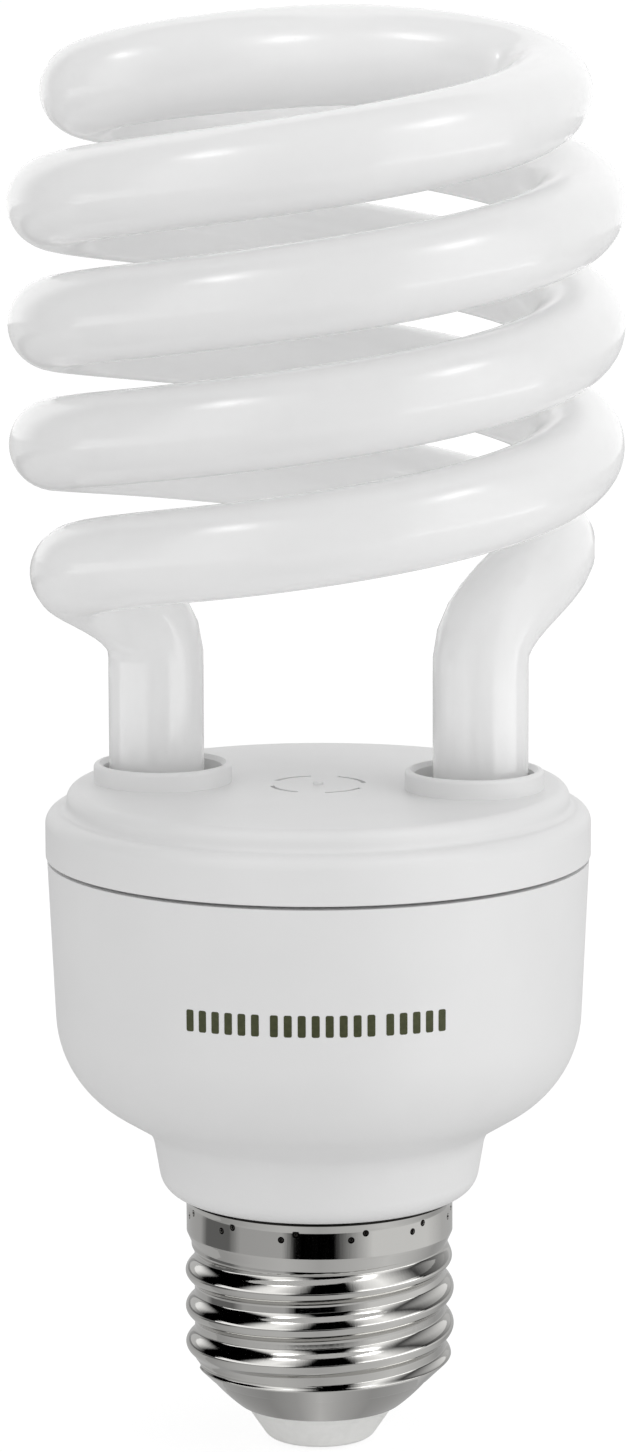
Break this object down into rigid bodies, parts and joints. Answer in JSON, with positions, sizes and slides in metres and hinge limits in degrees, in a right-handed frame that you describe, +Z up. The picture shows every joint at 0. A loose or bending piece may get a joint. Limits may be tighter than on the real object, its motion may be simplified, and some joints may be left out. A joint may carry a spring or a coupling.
{
  "type": "compact fluorescent lamp bulb",
  "caption": "Spiral compact fluorescent bulb for reptile enclosures: a white glass tube coiled over a stepped plastic ballast housing, with a plated screw cap and a centre contact.",
  "frame": {"origin": "centre of the contact's flat underside, on the lamp's axis", "axes": "+Z up the lamp's axis from the contact to the spiral, +X through the tube's right leg as the picture shows it"},
  "size_m": [0.0588, 0.0588, 0.1399],
  "materials": {
    "phosphor_glass": "glossy clear glass with a white powder coat inside, opaque",
    "housing_plastic": "satin moulded white plastic",
    "nickel_plate": "bright rolled nickel-plated sheet",
    "insulator_white": "white moulded insulator, low gloss",
    "contact_metal": "tinned brass, softly polished",
    "cement": "white cement, matte",
    "board_laminate": "phenolic laminate",
    "ferrite": "dark sintered ferrite",
    "bobbin_plastic": "black moulded plastic",
    "copper_wire": "enamelled copper wire",
    "can_sleeve": "shrunk plastic sleeve",
    "epoxy_black": "moulded epoxy",
    "film_coat": "dipped epoxy coat",
    "resistor_coat": "lacquered ceramic",
    "tinned_wire": "tinned wire",
    "wire_sleeve": "soft wire sleeve"
  },
  "bodies": {
    "root": {"spiral_tube": "phosphor_glass", "tube_cement": "cement", "top_cover": "housing_plastic", "lower_housing": "housing_plastic", "screw_shell": "nickel_plate", "cap_insulator": "insulator_white", "centre_contact": "contact_metal", "ballast_board": "board_laminate", "choke_core": "ferrite", "choke_bobbin": "bobbin_plastic", "choke_winding": "copper_wire", "drive_toroid": "ferrite", "toroid_windings": "copper_wire", "electrolytic_capacitor": "can_sleeve", "transistors": "epoxy_black", "resonant_capacitor": "film_coat", "filter_capacitor": "film_coat", "rectifier_diodes": "epoxy_black", "resistors": "resistor_coat", "fusible_resistor": "resistor_coat", "wrap_pins": "tinned_wire", "tube_leads": "tinned_wire", "live_lead": "wire_sleeve", "neutral_lead": "wire_sleeve"}
  },
  "joints": []
}
